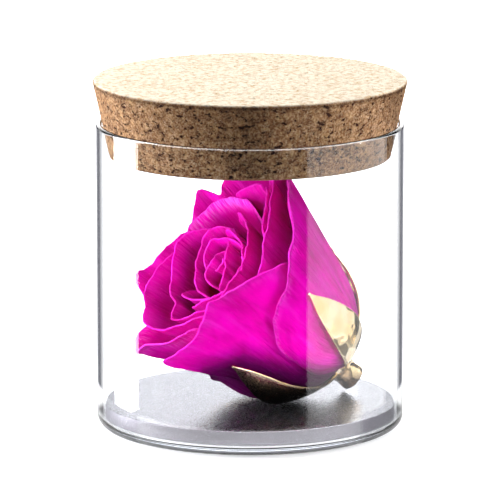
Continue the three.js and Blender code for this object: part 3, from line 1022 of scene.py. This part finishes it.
FLOOR_RADIUS = 0.086
FLOOR_PLACE = (0, 0, -0.0001)
FLOOR_CORNERS = 96
FLOOR_GLOW = 1.1
FLOOR_FRONT = -0.032
FLOOR_IMAGE = 0.75
FLOOR_FILL = 0.1
FLOOR_DARK = (0.03, 0.03, 0.033)
SIDE_MIDDLE = 0.006
SIDE_REACH = 0.05
AWAY_REACH = 0.1
# Painted contact shadow round the jar's foot, in metres
CONTACT_SHADOW_START = 0.045
CONTACT_SHADOW_REACH = 0.02


def bounced(tree, path, kind):
    """1 for rays that have met a surface of that kind before, else 0."""
    return math_node(tree, "GREATER_THAN", path[kind + " Depth"], 0.5)


def seen_straight(tree, path):
    """1 for what is seen directly or through glass, 0 in mirror images and in the light on surfaces."""
    bounces = math_node(tree, "ADD", path["Diffuse Depth"], path["Glossy Depth"])
    return math_node(tree, "LESS_THAN", bounces, 0.5)


def floor_color(tree, path, place, distance):
    """Pale, but dark at the jar's two sides in mirror images."""
    tone = ramp(tree, noise(tree, place, 3.0), [(0.0, 0.86), (1.0, 0.9)])
    off_middle = math_node(tree, "ABSOLUTE", math_node(tree, "ADD", axes(tree, place)["Y"], SIDE_MIDDLE))
    beside = ramp_over(tree, off_middle, SIDE_REACH, [(0.45, 1.0), (0.65, 0.0)])
    away = ramp_over(tree, distance, AWAY_REACH, [(0.54, 0.0), (0.62, 1.0)])
    at_sides = math_node(tree, "MULTIPLY", beside, away)
    dark = math_node(tree, "MULTIPLY", bounced(tree, path, "Glossy"), at_sides)
    return mixed(tree, dark, tone, FLOOR_DARK)


def floor_glow(tree, path, place, distance):
    """White where it is seen straight, with a painted contact shadow round the jar's foot. In mirror images
    only its front glows.
    """
    front = math_node(tree, "LESS_THAN", axes(tree, place)["Y"], FLOOR_FRONT)
    not_lighting = math_node(tree, "SUBTRACT", 1.0, bounced(tree, path, "Diffuse"))
    in_mirrors = math_node(tree, "MULTIPLY", front, not_lighting)
    image = mixed(tree, in_mirrors, (FLOOR_FILL,) * 3, (FLOOR_IMAGE,) * 3)
    # Painted contact shadow: the glow dims in a ring round the jar's foot.
    from_foot = math_node(tree, "SUBTRACT", distance, CONTACT_SHADOW_START)
    contact_shadowed = ramp_over(tree, from_foot, CONTACT_SHADOW_REACH, [(0.3, 0.3), (0.6, 1.0)])
    straight = math_node(tree, "MULTIPLY", contact_shadowed, FLOOR_GLOW)
    return mixed(tree, seen_straight(tree, path), image, straight)


def floor_material():
    material, tree, shader = new_material("floor_white")
    path = node(tree, "LightPath").outputs
    place = object_place(tree)
    distance = node(tree, "VectorMath", {0: place}, operation="LENGTH").outputs["Value"]
    finish_with(tree, shader, Base_Color=floor_color(tree, path, place, distance), Roughness=0.6)
    shader.inputs["Specular IOR Level"].default_value = 0.1
    shader.inputs["Emission Color"].default_value = (1, 1, 1, 1)
    tree.links.new(floor_glow(tree, path, place, distance), shader.inputs["Emission Strength"])
    return material


def make_floor():
    """A round pale light table under the jar."""
    turns = np.linspace(0, 2 * np.pi, FLOOR_CORNERS, endpoint=False)
    rim = [(FLOOR_RADIUS * math.cos(t), FLOOR_RADIUS * math.sin(t), 0) for t in turns]
    mesh = bpy.data.meshes.new("floor")
    mesh.from_pydata(rim, [], [range(len(rim))])
    mesh.materials.append(floor_material())
    floor = bpy.data.objects.new("floor", mesh)
    floor.location = FLOOR_PLACE
    bpy.context.scene.collection.objects.link(floor)


# Lights

# Each beam on the rose: the turn and the rise that it comes from, in degrees, and its power
BEAMS = [(-52, 14, 0.0095), (-12, 10, 0.0042), (42, 12, 0.0105)]
BEAM_AIM = Vector((0, 0, 0.046))
BEAM_REACH = 0.7
BEAM_SIZE = (0.1, 0.062)
BEAM_SPREAD = 1.5
LID_BEAM = 0.014
LID_BEAM_REACH = 0.65
LID_BEAM_HEIGHT = 0.102
LID_BEAM_SIZE = (0.12, 0.026)


def area_light(name, place, facing, size, watts, spread=180):
    """A flat light at a place, shining along a direction."""
    data = bpy.data.lights.new(name, "AREA")
    data.shape = "RECTANGLE"
    data.size, data.size_y = size
    data.energy = watts
    data.spread = math.radians(spread)
    light = bpy.data.objects.new(name, data)
    light.location = place
    light.rotation_euler = Vector(facing).to_track_quat("-Z", "Y").to_euler()
    light.visible_camera = False
    bpy.context.scene.collection.objects.link(light)


def make_light():
    """Narrow beams on the rose alone and on the lid's ends, and three soft lights.

    The soft ones are over the lid and at the two sides, where the glass mirrors them.
    """
    for turn, rise, watts in BEAMS:
        turn, rise = math.radians(turn), math.radians(rise)
        away = Vector((math.sin(turn), -math.cos(turn), math.tan(rise)))
        area_light("beam", BEAM_AIM + BEAM_REACH * away, -away, BEAM_SIZE, watts, BEAM_SPREAD)
    area_light("overhead", (0.03, 0.1, 0.6), (-0.05, -0.17, -1), (0.5, 0.5), 3.1)
    area_light("left_strip", (-0.1835, 0.0185, 0.142), (0.945, -0.328, 0), (0.083, 0.336), 0.8)
    area_light("right_box", (0.201, -0.07, 0.13), (-0.998, 0.06, 0), (0.314, 0.36), 0.45)
    for side in (-1, 1):
        place = (LID_BEAM_REACH * side, 0, LID_BEAM_HEIGHT)
        area_light("lid_beam", place, (-side, 0, 0), LID_BEAM_SIZE, LID_BEAM, BEAM_SPREAD)


# Surroundings

BACKDROP = 3.0
LOW_WHITE = (1.0, 1.0, 1.05)
LOW_DARK = (0.11, 0.11, 0.14)
LOW_PALE = (0.9, 0.9, 0.92)
HIGH_BACKDROP = 3.2
CEILING = 1.0
ZENITH = 9.0
FRONT_DARK = 0.012
TRAPPED = 0.9
AMBIENT = 0.18


def mirrored_surroundings(tree, parts):
    """What mirror images show: white behind, above and below, dark in front.

    Two dark gaps in the white behind draw the glass's outline.
    """
    sideways = math_node(tree, "ABSOLUTE", parts["X"])
    low = ramp(tree, sideways, [
        (0.21, LOW_WHITE), (0.26, LOW_DARK), (0.43, LOW_DARK),
        (0.46, LOW_PALE), (0.63, LOW_PALE), (0.67, 0.0),
    ])
    high = ramp(tree, sideways, [(0.35, HIGH_BACKDROP), (0.6, 0.0)])
    strips = mixed(tree, math_node(tree, "GREATER_THAN", parts["Z"], 0.0), low, high)
    behind = mixed(tree, math_node(tree, "GREATER_THAN", parts["Y"], 0.0), (0, 0, 0), strips)
    above = ramp(tree, parts["Z"], [(0.4, 0.0), (0.5, 1.0)])
    below = ramp(tree, math_node(tree, "MULTIPLY", parts["Z"], -1.0), [(0.32, 0.0), (0.45, 1.0)])
    level = mixed(tree, math_node(tree, "MAXIMUM", above, below), behind, (CEILING,) * 3)
    zenith = ramp(tree, parts["Z"], [(0.55, 0.0), (0.7, 1.0)])
    around = mixed(tree, zenith, level, (ZENITH,) * 3)
    return mixed(tree, 1.0, around, (FRONT_DARK,) * 3, "ADD")


def make_surroundings():
    """Seen straight or through glass all of it is white. Surfaces are lit by a dim even grey.

    Rays that are trapped in the glass's wall meet a pale grey.
    """
    world = bpy.data.worlds.new("studio")
    world.cycles.sampling_method = "NONE"
    bpy.context.scene.world = world
    world.use_nodes = True
    tree = world.node_tree
    path = node(tree, "LightPath").outputs
    parts = axes(tree, node(tree, "TexCoord").outputs["Generated"])
    still_inside = math_node(tree, "LESS_THAN", path["Transmission Depth"], 2.5)
    mirrored_twice = math_node(tree, "GREATER_THAN", path["Glossy Depth"], 1.5)
    trapped = math_node(tree, "MULTIPLY", mirrored_twice, still_inside)
    glassy = mixed(tree, trapped, mirrored_surroundings(tree, parts), (TRAPPED,) * 3)
    lit = mixed(tree, bounced(tree, path, "Diffuse"), glassy, (AMBIENT,) * 3)
    color = mixed(tree, seen_straight(tree, path), lit, (BACKDROP,) * 3)
    tree.links.new(color, tree.nodes["Background"].inputs["Color"])


make_camera()
make_floor()
make_light()
make_surroundings()
bpy.context.scene.view_settings.view_transform = "Standard"
